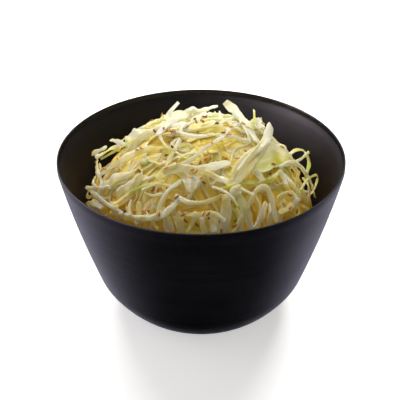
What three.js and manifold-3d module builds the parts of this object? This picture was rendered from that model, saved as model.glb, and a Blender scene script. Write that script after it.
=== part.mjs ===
// Shredded cabbage salad with toasted sesame, heaped in a deep black bowl.
// Millimetres, +Z up. The origin is the centre of the bowl's underside, and -Y is the front.
// The heap is one solid: a plain core with the shreds and seeds that show fused onto it.
import * as THREE from 'three';
import { mergeVertices } from 'three/addons/utils/BufferGeometryUtils.js';
import Module from 'manifold-3d';

const manifold = await Module();
manifold.setup();

// ---- Driving dimensions of the bowl ----
const RIM_RADIUS = 80;
const BOWL_HEIGHT = 95;
const RIM_BAND = 3; // upright band round the top edge
const LIP = 1.1; // thickness of that band
const LEDGE = 1.6; // height of the slope from the band in to the wall
const WALL = 2.4;
const WALL_LEAN = THREE.MathUtils.degToRad(17);
const WALL_BULGE = 2; // how far the wall bows out of a straight cone
const BASE_RADIUS = 40; // flat underside
const CORNER_HEIGHT = 23; // where the rounded foot of the wall ends
const CORNER_PULL = 0.35; // how far the corner's handles reach, of its leg
const BOWL_SIDES = 48;

// ---- Driving dimensions of the heap ----
const HEAP_CENTRE = new THREE.Vector3(-1, 0, 54);
const HEAP_RADIUS = 66; // plan radius of the heap at its widest, where it meets the wall
const HEAP_RISE = 54; // from there up to the crown
const CORE_DEPTH = 2.4; // how far the core lies under the shreds' level
const CORE_SIDES = 24;
const CORE_RINGS = 7;
const CORE_BUMP = 1.2;
const CLEARANCE = 0.35; // between food and bowl
const LOWEST_POLAR = THREE.MathUtils.degToRad(84); // how far down its side the shreds lie
const SHRED_THICK = 1.1;
const SHRED_STEP = 7.5; // length of one straight stretch of a shred
const SHRED_LONG = { least: 26, most: 58 };
const SHRED_WIDE = { least: 1.8, most: 4.2 };
const SHRED_ARCH = { least: 0.5, most: 1.8 }; // height of a laid shred's middle over the level
const END_TAPER = 0.35;
const END_TUCK = 4;
const MOST_BEND = 1.6; // radians, from end to end
const MOST_TWIST = 1.1;
const LAID_SHREDS = 50;
const GOLDEN_ANGLE = Math.PI * (3 - Math.sqrt(5));
const SEEDS = 44;
const SEED = { long: 3.1, wide: 1.8, thick: 1.3 };
const SEED_DROP = [[0, -0.5], [0.36, -0.26], [0.5, 0.1], [0.3, 0.4], [0, 0.5]];
const SEED_SIDES = 5;
const SEED_SHOWING = 0.05; // height of a seed's middle over its shred, of its thickness
const SEED_STRIDE = 7;
const HEAP_SEED = 2024;

// ---- Sight lines: the top shreds' courses are given as seen by someone sitting in front of
// the bowl. Their x runs to the right and y down, with SIGHT_SCALE units to a millimetre at the
// bowl's axis, and SIGHT_MIDDLE is the point looked at. The third number is the height in
// millimetres above the heap's level at that point.
const EYE_TILT = THREE.MathUtils.degToRad(32.5);
const EYE_DISTANCE = 600;
const LOOKED_AT = new THREE.Vector3(-0.6, 0, 64.4);
const SIGHT_SCALE = 1.749;
const SIGHT_MIDDLE = 200;

const TOP_SHREDS = [
  { wide: 5.0, course: [225, 102, 7, 237, 113, 6, 248, 128, 3, 257, 142, -3] },
  { wide: 2.8, course: [178, 103, 7, 171, 111, 5, 163, 123, 2, 154, 131, -3] },
  { wide: 3.2, course: [216, 106, 7, 203, 110, 6, 193, 114, 4, 182, 127, -3] },
  { wide: 2.2, course: [202, 135, -2, 184, 134, 4, 182, 124, 5, 208, 119, 5, 230, 120, 4, 246, 128, -3] },
  { wide: 2.4, course: [207, 134, -2, 226, 135, 3, 249, 142, -3] },
  { wide: 2.6, course: [243, 123, 6, 222, 135, 5, 204, 152, 4, 185, 163, 2, 163, 172, -3] },
  { wide: 5.6, course: [271, 126, 5, 266, 140, 6, 256, 155, 6, 245, 172, 5, 233, 182, 3, 219, 178, -3] },
  { wide: 5.0, course: [259, 147, 4, 248, 157, 4, 238, 167, 3, 232, 177, -3] },
  { wide: 12, course: [290, 151, -2, 277, 151, 2, 264, 159, 2, 253, 168, -3] },
  { wide: 2.0, course: [309, 152, 7, 301, 159, 5, 290, 164, 3, 279, 166, -3] },
  { wide: 2.2, course: [280, 167, -2, 291, 162, 4, 302, 168, 5, 310, 181, 4, 315, 197, -3] },
  { wide: 2.2, course: [290, 154, -3, 296, 150, 1, 304, 151, 2, 309, 162, 1, 307, 173, -3] },
  { wide: 2.4, course: [97, 160, -2, 97, 170, 2, 102, 183, 2, 100, 197, -3] },
  { wide: 2.8, course: [128, 146, -3, 119, 142, 2, 111, 140, 4] },
  { wide: 3.0, course: [92, 154, 2, 98, 151, 1, 106, 147, -3] },
  { wide: 2.6, course: [86, 187, 2, 95, 194, 2, 107, 204, 2, 123, 214, -3] },
  { wide: 3.6, course: [110, 214, -2, 137, 218, 2, 160, 216, 3, 172, 207, 3, 181, 198, -3] },
  { wide: 4.2, course: [101, 174, -2, 120, 161, 2, 143, 150, 3, 158, 150, 2, 174, 152, -3] },
  { wide: 4.6, course: [157, 179, -2, 166, 171, 3, 181, 168, 4, 201, 169, 4, 229, 163, -2] },
  { wide: 7.0, course: [200, 172, -3, 194, 182, 3, 190, 193, 2] },
  { wide: 2.8, course: [176, 195, -2, 185, 201, 3, 197, 203, 4, 210, 201, 3, 223, 195, -3] },
  { wide: 2.4, course: [181, 181, 1, 168, 191, 3, 161, 203, 2, 157, 215, -3] },
  { wide: 2.8, course: [233, 232, -2, 247, 208, 4, 257, 190, 6, 266, 187, 6, 272, 201, 3, 276, 222, -3] },
  { wide: 4.6, course: [232, 190, -2, 240, 198, 3, 246, 212, 3, 251, 230, -3] },
  { wide: 2.6, course: [280, 171, -2, 291, 183, 3, 299, 196, 3, 296, 213, -3] },
  { wide: 4.0, course: [186, 124, -2, 160, 128, 2, 140, 139, 2, 126, 155, -3] },
  { wide: 7.0, course: [107, 190, -2, 122, 186, 1, 142, 180, -3] },
  { wide: 2.8, course: [180, 140, 2, 173, 153, 2, 166, 166, -3] },
  { wide: 4.0, course: [225, 196, -2, 224, 213, 2, 222, 231, -3] },
  { wide: 5.0, course: [197, 111, 3, 181, 116, 3, 168, 124, 1, 158, 135, -3] },
  { wide: 5.0, course: [178, 212, -3, 179, 222, 2, 181, 232, -2] },
  { wide: 3.4, course: [184, 214, -3, 200, 215, 3, 213, 214, 3, 225, 221, -3] },
  { wide: 4.0, course: [277, 200, -3, 287, 194, 3, 299, 198, -2] },
  { wide: 3.4, course: [279, 213, -3, 289, 208, 3, 298, 200, -2] },
  { wide: 2.6, course: [260, 179, -3, 270, 180, 3, 279, 172, -2] },
  { wide: 8.0, course: [150, 129, -2, 138, 129, 2, 128, 138, -3] },
  { wide: 2.2, course: [113, 205, -3, 136, 190, 2, 157, 183, -3] },
  { wide: 2.2, course: [218, 190, -3, 236, 185, 3, 257, 182, -3] },
  { wide: 4.6, course: [249, 127, -2, 257, 120, 5, 262, 128, 1] },
];

const BLACK = new THREE.MeshStandardMaterial({ color: 0x17151a, roughness: 0.38, metalness: 0 });
const CABBAGE = new THREE.MeshStandardMaterial({ color: 0xe9e6b4, roughness: 0.45, metalness: 0 });

// ---- Bowl ----
const WALL_TOP = BOWL_HEIGHT - RIM_BAND;
const CONE_FOOT = RIM_RADIUS - WALL_TOP * Math.tan(WALL_LEAN);

function wallRadius(z) {
  const up = z / WALL_TOP;
  return CONE_FOOT + (RIM_RADIUS - CONE_FOOT) * up + 4 * WALL_BULGE * up * (1 - up);
}

// The outer face from the edge of the base up to z: the rounded corner, then the bowed wall.
function outerFace(cornerSteps, wallHeights) {
  const top = new THREE.Vector2(wallRadius(CORNER_HEIGHT), CORNER_HEIGHT);
  const slope = wallRadius(CORNER_HEIGHT + 0.5) - wallRadius(CORNER_HEIGHT - 0.5);
  const start = new THREE.Vector2(BASE_RADIUS, 0);
  const meeting = new THREE.Vector2(top.x - slope * CORNER_HEIGHT, 0);
  const corner = new THREE.CubicBezierCurve(
    start,
    start.clone().lerp(meeting, CORNER_PULL),
    top.clone().lerp(meeting, CORNER_PULL),
    top,
  );
  const wall = wallHeights.map((z) => new THREE.Vector2(wallRadius(z), z));
  return [...corner.getPoints(cornerSteps), ...wall];
}

// Moves an outline inwards by a distance, square to its own direction.
function inset(outline, distance) {
  return outline.map((point, i) => {
    const before = outline[Math.max(i - 1, 0)];
    const after = outline[Math.min(i + 1, outline.length - 1)];
    const along = i === 0 ? new THREE.Vector2(1, 0) : after.clone().sub(before).normalize();
    return new THREE.Vector2(point.x - along.y * distance, point.y + along.x * distance);
  });
}

const OUTER = outerFace(5, [45, 68, WALL_TOP - LEDGE]);
const INNER = inset(OUTER, WALL);

// Radius of the bowl's inside at a height.
function insideRadius(z) {
  const i = Math.max(1, INNER.findIndex((point) => point.y > z));
  const low = INNER[i - 1];
  const high = INNER[i];
  return z > BOWL_HEIGHT ? RIM_RADIUS : low.x + ((z - low.y) / (high.y - low.y)) * (high.x - low.x);
}

function makeBowl() {
  const band = [
    new THREE.Vector2(RIM_RADIUS, WALL_TOP),
    new THREE.Vector2(RIM_RADIUS, BOWL_HEIGHT),
    new THREE.Vector2(RIM_RADIUS - LIP, BOWL_HEIGHT),
    new THREE.Vector2(RIM_RADIUS - LIP, WALL_TOP),
  ];
  const underside = new THREE.Vector2(0, 0);
  const floor = new THREE.Vector2(0, WALL);
  const profile = [underside, ...OUTER, ...band, ...INNER.toReversed(), floor];
  return new THREE.LatheGeometry(profile, BOWL_SIDES).rotateX(Math.PI / 2);
}

// ---- Heap ----
// A repeatable stream of numbers from 0 to 1, so that the heap comes out the same each time.
function makeRandom(seed) {
  let state = seed;
  return () => {
    state = (Math.imul(state, 1664525) + 1013904223) >>> 0;
    return state / 2 ** 32;
  };
}

const TO_EYE = new THREE.Vector3(0, -Math.cos(EYE_TILT), Math.sin(EYE_TILT));
const EYE_UP = new THREE.Vector3(0, Math.sin(EYE_TILT), Math.cos(EYE_TILT));
const EYE = LOOKED_AT.clone().addScaledVector(TO_EYE, EYE_DISTANCE);

// Half the heap's size along X, Y and Z at its level, raised by lift.
function heapSize(lift) {
  return new THREE.Vector3(HEAP_RADIUS + lift, HEAP_RADIUS + lift, HEAP_RISE + lift);
}

// The point of the heap, raised by lift, that is met along a line of sight. A line that passes
// the heap gives its point nearest to it, as for a tip that stands out past the outline.
function seenPoint(x, y, lift) {
  const size = heapSize(lift);
  const aim = LOOKED_AT.clone().addScaledVector(EYE_UP, (SIGHT_MIDDLE - y) / SIGHT_SCALE);
  aim.x += (x - SIGHT_MIDDLE) / SIGHT_SCALE;
  const from = EYE.clone().sub(HEAP_CENTRE).divide(size);
  const way = aim.sub(EYE).divide(size);
  const nearest = -from.dot(way) / way.lengthSq();
  const inside = nearest ** 2 - (from.lengthSq() - 1) / way.lengthSq();
  const met = nearest - Math.sqrt(Math.max(inside, 0));
  return from.addScaledVector(way, met).multiply(size).add(HEAP_CENTRE);
}

// The point of the heap, raised by lift, at a place on its map. The map is the heap rolled out
// flat round its crown, so that a distance on it is a length along the heap.
function mappedPoint(u, v, lift) {
  const polar = Math.min(Math.hypot(u, v) / HEAP_RADIUS, LOWEST_POLAR);
  const azimuth = Math.atan2(v, u);
  const level = Math.sin(polar);
  const way = new THREE.Vector3(level * Math.cos(azimuth), level * Math.sin(azimuth), Math.cos(polar));
  return way.multiply(heapSize(lift)).add(HEAP_CENTRE);
}

// The way straight out of the heap at a point.
function outward(point) {
  return point.clone().sub(HEAP_CENTRE).divide(heapSize(0)).divide(heapSize(0)).normalize();
}

// Moves a point of the food towards the axis until it has room inside the bowl.
function keepInside(point, room) {
  const limit = insideRadius(point.z) - CLEARANCE - room;
  const shrink = Math.min(1, limit / Math.hypot(point.x, point.y));
  return point.set(point.x * shrink, point.y * shrink, point.z);
}

// A shred's course and its flat side at each share of its length. The flat side faces out of the
// heap, leaning the way that lean gives, and turns about the course by twist from end to end.
function layCourse(points, wide, twist, lean) {
  const curve = new THREE.CatmullRomCurve3(points.map((point) => keepInside(point, wide / 2)));
  const frameAt = (share) => {
    const middle = curve.getPointAt(share);
    const along = curve.getTangentAt(share);
    const side = outward(middle).add(lean).cross(along).normalize();
    side.applyAxisAngle(along, twist * (share - 0.5));
    return { middle, along, side, up: along.clone().cross(side) };
  };
  return { wide, long: curve.getLength(), frameAt };
}

// A strip bent along its course, a little narrower at both ends.
function makeShred({ wide, long, frameAt }) {
  const strip = new THREE.BoxGeometry(1, wide, SHRED_THICK, Math.ceil(long / SHRED_STEP), 1, 1);
  const spots = strip.attributes.position;
  for (let i = 0; i < spots.count; i += 1) {
    const share = spots.getX(i) + 0.5;
    const { middle, side, up } = frameAt(share);
    const taper = 1 - END_TAPER * (2 * share - 1) ** 4;
    middle.addScaledVector(side, spots.getY(i) * taper);
    middle.addScaledVector(up, spots.getZ(i));
    spots.setXYZ(i, middle.x, middle.y, middle.z);
  }
  return strip;
}

// The shreds that lie all over the heap: their middles are spread evenly from the crown down,
// and each is an arc of its own length and bend, with its ends tucked in.
function laidCourses(random) {
  return Array.from({ length: LAID_SHREDS }, (_, i) => {
    const polar = Math.acos(1 - ((i + 0.5) / LAID_SHREDS) * (1 - Math.cos(LOWEST_POLAR)));
    const middleU = HEAP_RADIUS * polar * Math.cos(i * GOLDEN_ANGLE);
    const middleV = HEAP_RADIUS * polar * Math.sin(i * GOLDEN_ANGLE);
    const heading = random() * Math.PI;
    const bend = (random() * 2 - 1) * MOST_BEND;
    const long = THREE.MathUtils.lerp(SHRED_LONG.least, SHRED_LONG.most, random());
    const wide = THREE.MathUtils.lerp(SHRED_WIDE.least, SHRED_WIDE.most, random() ** 2);
    const arch = THREE.MathUtils.lerp(SHRED_ARCH.least, SHRED_ARCH.most, random());
    const points = [-1, -0.5, 0, 0.5, 1].map((share) => {
      const turned = heading + (bend * share) / 2;
      const reach = (share * long) / 2;
      const lift = arch * (1 - share ** 2) - END_TUCK * share ** 2;
      return mappedPoint(middleU + reach * Math.cos(turned), middleV + reach * Math.sin(turned), lift);
    });
    return layCourse(points, wide, (random() * 2 - 1) * MOST_TWIST, new THREE.Vector3());
  });
}

// The shreds on top, along their own courses and turned towards the front.
function topCourses() {
  return TOP_SHREDS.map(({ wide, course }, i) => {
    const points = [];
    for (let k = 0; k < course.length; k += 3) {
      points.push(seenPoint(course[k], course[k + 1], course[k + 2]));
    }
    return layCourse(points, wide, i % 2 ? MOST_TWIST / 2 : -MOST_TWIST / 2, TO_EYE);
  });
}

// A sesame seed, pressed into the upper side of the shred that it lies on.
function makeSeed({ frameAt }, share, heading) {
  const drop = SEED_DROP.map(([across, along]) => new THREE.Vector2(across, along));
  const seed = new THREE.LatheGeometry(drop, SEED_SIDES);
  seed.scale(SEED.wide, SEED.long, SEED.thick);
  seed.rotateZ(heading);
  const { middle, along, side, up } = frameAt(share);
  middle.addScaledVector(up, SHRED_THICK / 2 + SEED.thick * SEED_SHOWING);
  return seed.applyMatrix4(new THREE.Matrix4().makeBasis(along, side, up).setPosition(middle));
}

function scatterSeeds(courses, random) {
  return Array.from({ length: SEEDS }, (_, i) => {
    const course = courses[(i * SEED_STRIDE) % courses.length];
    return makeSeed(course, THREE.MathUtils.lerp(0.2, 0.8, random()), random() * Math.PI);
  });
}

function merged(geometry) {
  geometry.deleteAttribute('normal');
  geometry.deleteAttribute('uv');
  return mergeVertices(geometry, 1e-4);
}

// The packed mass under the shreds: it fills the bowl up to the heap's foot, and above that it
// is an uneven mound.
function makeCore(random) {
  const fill = inset(OUTER, WALL + CLEARANCE).filter((point) => point.y < HEAP_CENTRE.z - CORE_DEPTH);
  const mound = new THREE.EllipseCurve(
    0, HEAP_CENTRE.z, HEAP_RADIUS - CORE_DEPTH, HEAP_RISE - CORE_DEPTH, 0, Math.PI / 2,
  ).getPoints(CORE_RINGS);
  mound[CORE_RINGS].x = 0;
  const floor = new THREE.Vector2(0, WALL + CLEARANCE);
  const core = merged(new THREE.LatheGeometry([floor, ...fill, ...mound], CORE_SIDES));
  core.rotateX(Math.PI / 2);
  const spots = core.attributes.position;
  for (let i = 0; i < spots.count; i += 1) {
    const point = new THREE.Vector3().fromBufferAttribute(spots, i);
    if (point.z > HEAP_CENTRE.z + CORE_BUMP) {
      point.addScaledVector(outward(point), CORE_BUMP * (random() * 2 - 1));
      spots.setXYZ(i, point.x, point.y, point.z);
    }
  }
  return core;
}

function solidOf(geometry) {
  const closed = merged(geometry);
  const vertProperties = closed.attributes.position.array;
  const triVerts = new Uint32Array(closed.index.array);
  return new manifold.Manifold(new manifold.Mesh({ numProp: 3, vertProperties, triVerts }));
}

// Joins the pieces into one solid. Its largest body is kept, so that sealed hollows fill up and
// loose scraps drop out.
function fuse(geometries) {
  const joined = manifold.Manifold.union(geometries.map(solidOf));
  const bodies = joined.decompose().sort((a, b) => b.volume() - a.volume());
  const { vertProperties, triVerts } = bodies[0].getMesh();
  const geometry = new THREE.BufferGeometry();
  geometry.setAttribute('position', new THREE.BufferAttribute(vertProperties, 3));
  geometry.setIndex(new THREE.BufferAttribute(triVerts, 1));
  return geometry;
}

function makeHeap() {
  const random = makeRandom(HEAP_SEED);
  const courses = [...topCourses(), ...laidCourses(random)];
  const seeds = scatterSeeds(courses, random);
  return fuse([makeCore(random), ...courses.map(makeShred), ...seeds]);
}

function namedMesh(name, geometry, material) {
  geometry.computeVertexNormals();
  const mesh = new THREE.Mesh(geometry, material);
  mesh.name = name;
  return mesh;
}

const salad = new THREE.Group();
salad.add(namedMesh('bowl', makeBowl(), BLACK));
salad.add(namedMesh('slaw', makeHeap(), CABBAGE));
export default salad;
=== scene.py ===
"""Shredded cabbage salad with toasted sesame, heaped in a deep black bowl."""
import math

import bmesh
import bpy
import numpy as np
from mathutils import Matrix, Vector


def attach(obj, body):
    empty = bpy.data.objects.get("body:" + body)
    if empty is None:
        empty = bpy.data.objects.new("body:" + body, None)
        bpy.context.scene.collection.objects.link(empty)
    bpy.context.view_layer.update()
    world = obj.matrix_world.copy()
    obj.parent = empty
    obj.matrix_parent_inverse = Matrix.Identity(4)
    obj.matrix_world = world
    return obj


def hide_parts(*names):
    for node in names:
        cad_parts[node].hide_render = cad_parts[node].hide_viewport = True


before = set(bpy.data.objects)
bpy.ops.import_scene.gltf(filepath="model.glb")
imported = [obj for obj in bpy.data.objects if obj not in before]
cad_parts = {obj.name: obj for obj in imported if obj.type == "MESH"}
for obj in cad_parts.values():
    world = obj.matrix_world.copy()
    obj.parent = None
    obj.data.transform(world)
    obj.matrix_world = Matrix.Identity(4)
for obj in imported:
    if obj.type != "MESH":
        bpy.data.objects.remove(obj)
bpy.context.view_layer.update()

# ---------------------------------------------------------------------------------------------
# Bowl. A deep round bowl moulded in black resin, with fine turned lines in its satin skin. Its
# foot is rounded, and its wall bows out a little and thins under an upright band, which is
# glossy inside and ends in a rounded lip.
# ---------------------------------------------------------------------------------------------
MM = 0.001
FULL_TURN = 2 * math.pi
RIM_RADIUS = 80 * MM
BOWL_HEIGHT = 95 * MM
RIM_BAND = 3 * MM
LIP = 1.1 * MM  # thickness of the band
LEDGE = 1.6 * MM  # from the band down to the end of the wall's own outline
WALL = 2.4 * MM
THINNED = 12 * MM  # height over which the wall thins under the band
STEP_LEFT = 0.2 * MM  # what still stands out there inside, under the band
WALL_LEAN = math.radians(17)
WALL_BULGE = 2 * MM
BASE_RADIUS = 40 * MM
CORNER_HEIGHT = 23 * MM
CORNER_PULL = 0.35
CORNER_STEPS = 14
WALL_STEPS = 14
BOWL_SIDES = 160
CREASE = math.radians(30)
EDGE_ROUND = 0.5 * MM
EDGE_STEPS = 5
MERGED = 0.01 * MM

BOWL_BLACK = (0.0012, 0.0010, 0.0014, 1)
BOWL_WORN = (0.025, 0.021, 0.028, 1)
LAVENDER = (0.81, 0.80, 1.0, 1)
LINES_PER_METRE = 1000
BANDS_PER_METRE = 330
SMUDGE_SCALE = 26
SPECKLE_SCALE = 1300
WORN_LINES = (0.52, 0.66)
GLOSSY = 0.20  # roughness of the band inside, and what the satin skin adds to it
SATIN = 0.14
SATIN_BY_LINE = 0.34
SATIN_BY_SMUDGE = 0.12
LINE_DEPTH = 0.2 * MM

WALL_TOP = BOWL_HEIGHT - RIM_BAND
CONE_FOOT = RIM_RADIUS - WALL_TOP * math.tan(WALL_LEAN)


def wall_radius(z):
    up = z / WALL_TOP
    return CONE_FOOT + (RIM_RADIUS - CONE_FOOT) * up + 4 * WALL_BULGE * up * (1 - up)


def outer_face():
    """The outer face's outline from the edge of the base up to the band: (radius, height)."""
    top = np.array([wall_radius(CORNER_HEIGHT), CORNER_HEIGHT])
    step = 0.5 * MM
    slope = (wall_radius(CORNER_HEIGHT + step) - wall_radius(CORNER_HEIGHT - step)) / (2 * step)
    start = np.array([BASE_RADIUS, 0.0])
    meeting = np.array([top[0] - slope * CORNER_HEIGHT, 0.0])
    pull_low = start + (meeting - start) * CORNER_PULL
    pull_high = top + (meeting - top) * CORNER_PULL
    s = np.linspace(0, 1, CORNER_STEPS + 1)[:, None]
    corner = (start * (1 - s) ** 3 + 3 * pull_low * s * (1 - s) ** 2
              + 3 * pull_high * s ** 2 * (1 - s) + top * s ** 3)
    heights = np.linspace(CORNER_HEIGHT, WALL_TOP - LEDGE, WALL_STEPS + 1)[1:]
    wall = np.stack([wall_radius(heights), heights], 1)
    return np.concatenate([corner, wall])


def inset(outline, distance):
    """Moves an outline inwards, square to its own direction."""
    along = np.gradient(outline, axis=0)
    along[0] = (1, 0)
    along /= np.linalg.norm(along, axis=1)[:, None]
    return outline + np.stack([-along[:, 1], along[:, 0]], 1) * distance


outer = outer_face()
inner = inset(outer, WALL)
under_band = np.clip((inner[:, 1] - WALL_TOP) / THINNED + 1, 0, 1)
inner[:, 0] += under_band ** 2 * (WALL - LIP - STEP_LEFT)
outline = np.concatenate([
    [[0, 0]], outer,
    [[RIM_RADIUS, WALL_TOP], [RIM_RADIUS, BOWL_HEIGHT],
     [RIM_RADIUS - LIP, BOWL_HEIGHT], [RIM_RADIUS - LIP, WALL_TOP]],
    inner[::-1], [[0, WALL]],
])


def spun(outline, sides):
    """A shape spun round the upright axis from an outline of (radius, height)."""
    shape = bmesh.new()
    ring = [shape.verts.new((radius, 0, height)) for radius, height in outline]
    edges = [shape.edges.new(pair) for pair in zip(ring, ring[1:])]
    bmesh.ops.spin(shape, geom=ring + edges, cent=(0, 0, 0), axis=(0, 0, 1), angle=FULL_TURN,
                   steps=sides, use_merge=True)
    bmesh.ops.remove_doubles(shape, verts=shape.verts, dist=MERGED)
    bmesh.ops.recalc_face_normals(shape, faces=shape.faces)
    return shape


def add_object(name, data):
    made = bpy.data.objects.new(name, data)
    bpy.context.scene.collection.objects.link(made)
    return made


def smooth_piece(name, shape):
    """The object made from a finished shape, with smooth faces."""
    for face in shape.faces:
        face.smooth = True
    mesh = bpy.data.meshes.new(name)
    shape.to_mesh(mesh)
    shape.free()
    return add_object(name, mesh)


shape = spun(outline, BOWL_SIDES)
creases = [edge for edge in shape.edges
           if edge.is_manifold and edge.calc_face_angle(0) > CREASE
           and edge.verts[0].co.z > BOWL_HEIGHT - EDGE_ROUND]
bmesh.ops.bevel(shape, geom=creases, offset=EDGE_ROUND, segments=EDGE_STEPS, profile=0.5,
                material=-1, affect="EDGES", clamp_overlap=True)
bowl = smooth_piece("bowl_wall", shape)


class Wire:
    """One output in a material's nodes. Sums and products of wires add the Math nodes."""

    def __init__(self, tree, socket=None):
        self.tree = tree
        self.socket = socket

    def make(self, kind, settings=None, sockets=None, output=0):
        """A new node: its settings first, then the values or wires of its sockets."""
        node = self.tree.nodes.new(kind)
        for name, value in (settings or {}).items():
            setattr(node, name, value)
        for name, value in (sockets or {}).items():
            if isinstance(value, Wire):
                self.tree.links.new(value.socket, node.inputs[name])
            else:
                node.inputs[name].default_value = value
        return Wire(self.tree, node.outputs[output])

    def math(self, operation, *values):
        return self.make("ShaderNodeMath", {"operation": operation}, dict(enumerate(values)))

    def __add__(self, other):
        return self.math("ADD", self, other)

    def __mul__(self, other):
        return self.math("MULTIPLY", self, other)

    def __sub__(self, other):
        return self.math("SUBTRACT", self, other)

    def __rsub__(self, other):
        return self.math("SUBTRACT", other, self)

    __radd__ = __add__
    __rmul__ = __mul__

    def sibling(self, output):
        """Another output of the same node."""
        return Wire(self.tree, self.socket.node.outputs[output])

    def attribute(self, name, output=0):
        return self.make("ShaderNodeAttribute", {"attribute_name": name}, output=output)

    def stretched(self, by):
        """This vector, each of its parts multiplied by its own number."""
        return self.make("ShaderNodeVectorMath", {"operation": "MULTIPLY"}, {0: self, 1: by})

    def noise(self, **sockets):
        """Noise that takes this wire as its place."""
        return self.make("ShaderNodeTexNoise", None, {"Vector": self, **sockets})

    def noise_along(self, **sockets):
        """Noise along one line, which takes this wire as the place on it."""
        return self.make("ShaderNodeTexNoise", {"noise_dimensions": "1D"}, {"W": self, **sockets})

    def clamped(self):
        return self.make("ShaderNodeClamp", None, {"Value": self})

    def between(self, low, high):
        """0 below low, 1 above high, and smooth in between."""
        return self.make("ShaderNodeMapRange", {"interpolation_type": "SMOOTHSTEP"},
                         {"Value": self, "From Min": low, "From Max": high})

    def blend(self, colour_off, colour_on):
        """Mixes two colours by this wire as the factor."""
        return self.make("ShaderNodeMix", {"data_type": "RGBA"},
                         {0: self, 6: colour_off, 7: colour_on}, output=2)


def new_material(name, constants):
    """A material whose shader has these constants set, and a wire to start its patterns from."""
    material = bpy.data.materials.new(name)
    material.use_nodes = True
    shader = material.node_tree.nodes["Principled BSDF"]
    for socket, value in constants.items():
        shader.inputs[socket].default_value = value
    return material, Wire(material.node_tree), shader


def plug(wire, shader, socket):
    wire.tree.links.new(wire.socket, shader.inputs[socket])


black_satin, nodes, shader = new_material("black_satin_resin", {
    "IOR": 1.46, "Specular IOR Level": 0.36, "Specular Tint": LAVENDER})
place = nodes.make("ShaderNodeTexCoord", output=3)
height = nodes.make("ShaderNodeSeparateXYZ", None, {"Vector": place}, output=2)
lines = (height * LINES_PER_METRE).noise_along(Detail=2, Roughness=0.7)
bands = (height * BANDS_PER_METRE + 7).noise_along(Detail=2)
smudge = place.noise(Scale=SMUDGE_SCALE, Detail=4)
speckle = place.noise(Scale=SPECKLE_SCALE, Detail=1)
turned = (lines * 0.7 + bands * 0.3 - 0.5) * (smudge * 3.2) + 0.5
radius = nodes.make("ShaderNodeVectorMath", {"operation": "LENGTH"},
                    {0: place.stretched((1, 1, 0))}, output=1)
outside = radius.between(RIM_RADIUS - LIP, RIM_RADIUS - LIP / 2)
satin = 1 - height.between(WALL_TOP - STEP_LEFT, WALL_TOP) * (1 - outside)
worn = (lines.between(*WORN_LINES) * smudge * satin * 1.4).clamped()
plug(worn.blend(BOWL_BLACK, BOWL_WORN), shader, "Base Color")
dulled = SATIN + turned * SATIN_BY_LINE + (smudge - 0.5) * SATIN_BY_SMUDGE
plug((GLOSSY + satin * dulled).clamped(), shader, "Roughness")
plug(nodes.make("ShaderNodeBump", None, {
    "Strength": 0.3, "Distance": LINE_DEPTH, "Height": turned + speckle * 0.5}), shader, "Normal")
bowl.data.materials.append(black_satin)
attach(bowl, "root")
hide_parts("bowl")

# ---------------------------------------------------------------------------------------------
# Core. The inside of the heap: a golden ground in the gaps between the shreds, painted dark as
# shade at its foot and in the loose hollows. It fills the bowl up to the heap's foot and ends in a
# dented dome, a few millimetres under the heap's level. Sizes in the heap are in millimetres.
# ---------------------------------------------------------------------------------------------
HEAP_CENTRE = np.array([-1.0, 0.0, 54.0])
HEAP_SIZE = np.array([66.0, 66.0, 54.0])
LOWEST_POLAR = math.radians(92)
CORE_DEPTH = 9.0
CORE_SIDES = 128
CORE_RINGS = 48
CORE_SEED = 41
CORE_WAVES = 14
WAVE_PITCH = 0.22
CORE_BUMP = 1.2
CLEARANCE = 0.35
HOLLOWS = (  # middle on the heap's map, radius, depth
    ((82, 14), 17, 8), ((70, 30), 14, 5), ((-80, 9), 15, 6), ((-62, 13), 9, 7),
    ((-66, 38), 17, 4.5))
CORE_DENT = 0.6
# Painted shade: the core is painted dark below FOOT_SHADE millimetres, and where its hollows are
# deeper than SHADE_FROM.
FOOT_SHADE = 58
SHADE_FROM = 4.0  # depth of hollow at which the core begins to darken
CORE_GOLD = (0.80, 0.60, 0.08, 1)
CORE_PALE = (0.90, 0.74, 0.16, 1)
CORE_PAINTED_SHADE = (0.05, 0.045, 0.012, 1)
# Painted glow: the core gives out a little light in its own colour, standing in for light scattered
# through the heap.
CORE_GLOW = 0.06
MOTTLE_SCALE = 160
SCATTER = 4 * MM  # how far light wanders in cabbage


def outward(points):
    way = (points - HEAP_CENTRE) / HEAP_SIZE ** 2
    return way / np.linalg.norm(way, axis=-1)[..., None]


def to_map(points):
    """The place on the map and the lift of points near the heap's level."""
    way = (points - HEAP_CENTRE) / HEAP_SIZE
    reach = np.linalg.norm(way, axis=-1)
    way = way / reach[..., None]
    polar = np.arccos(np.clip(way[..., 2], -1, 1))
    azimuth = np.arctan2(way[..., 1], way[..., 0])
    place = np.stack([np.cos(azimuth), np.sin(azimuth)], -1) * (polar * HEAP_SIZE[0])[..., None]
    return place, (reach - 1) * np.linalg.norm(way * HEAP_SIZE, axis=-1)


def hollow(place):
    """How much lower the heap stays at places on its map, in the loose hollows."""
    return np.max([depth * np.exp(-((place - middle) ** 2).sum(-1) / radius ** 2)
                   for middle, radius, depth in HOLLOWS], axis=0)


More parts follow.
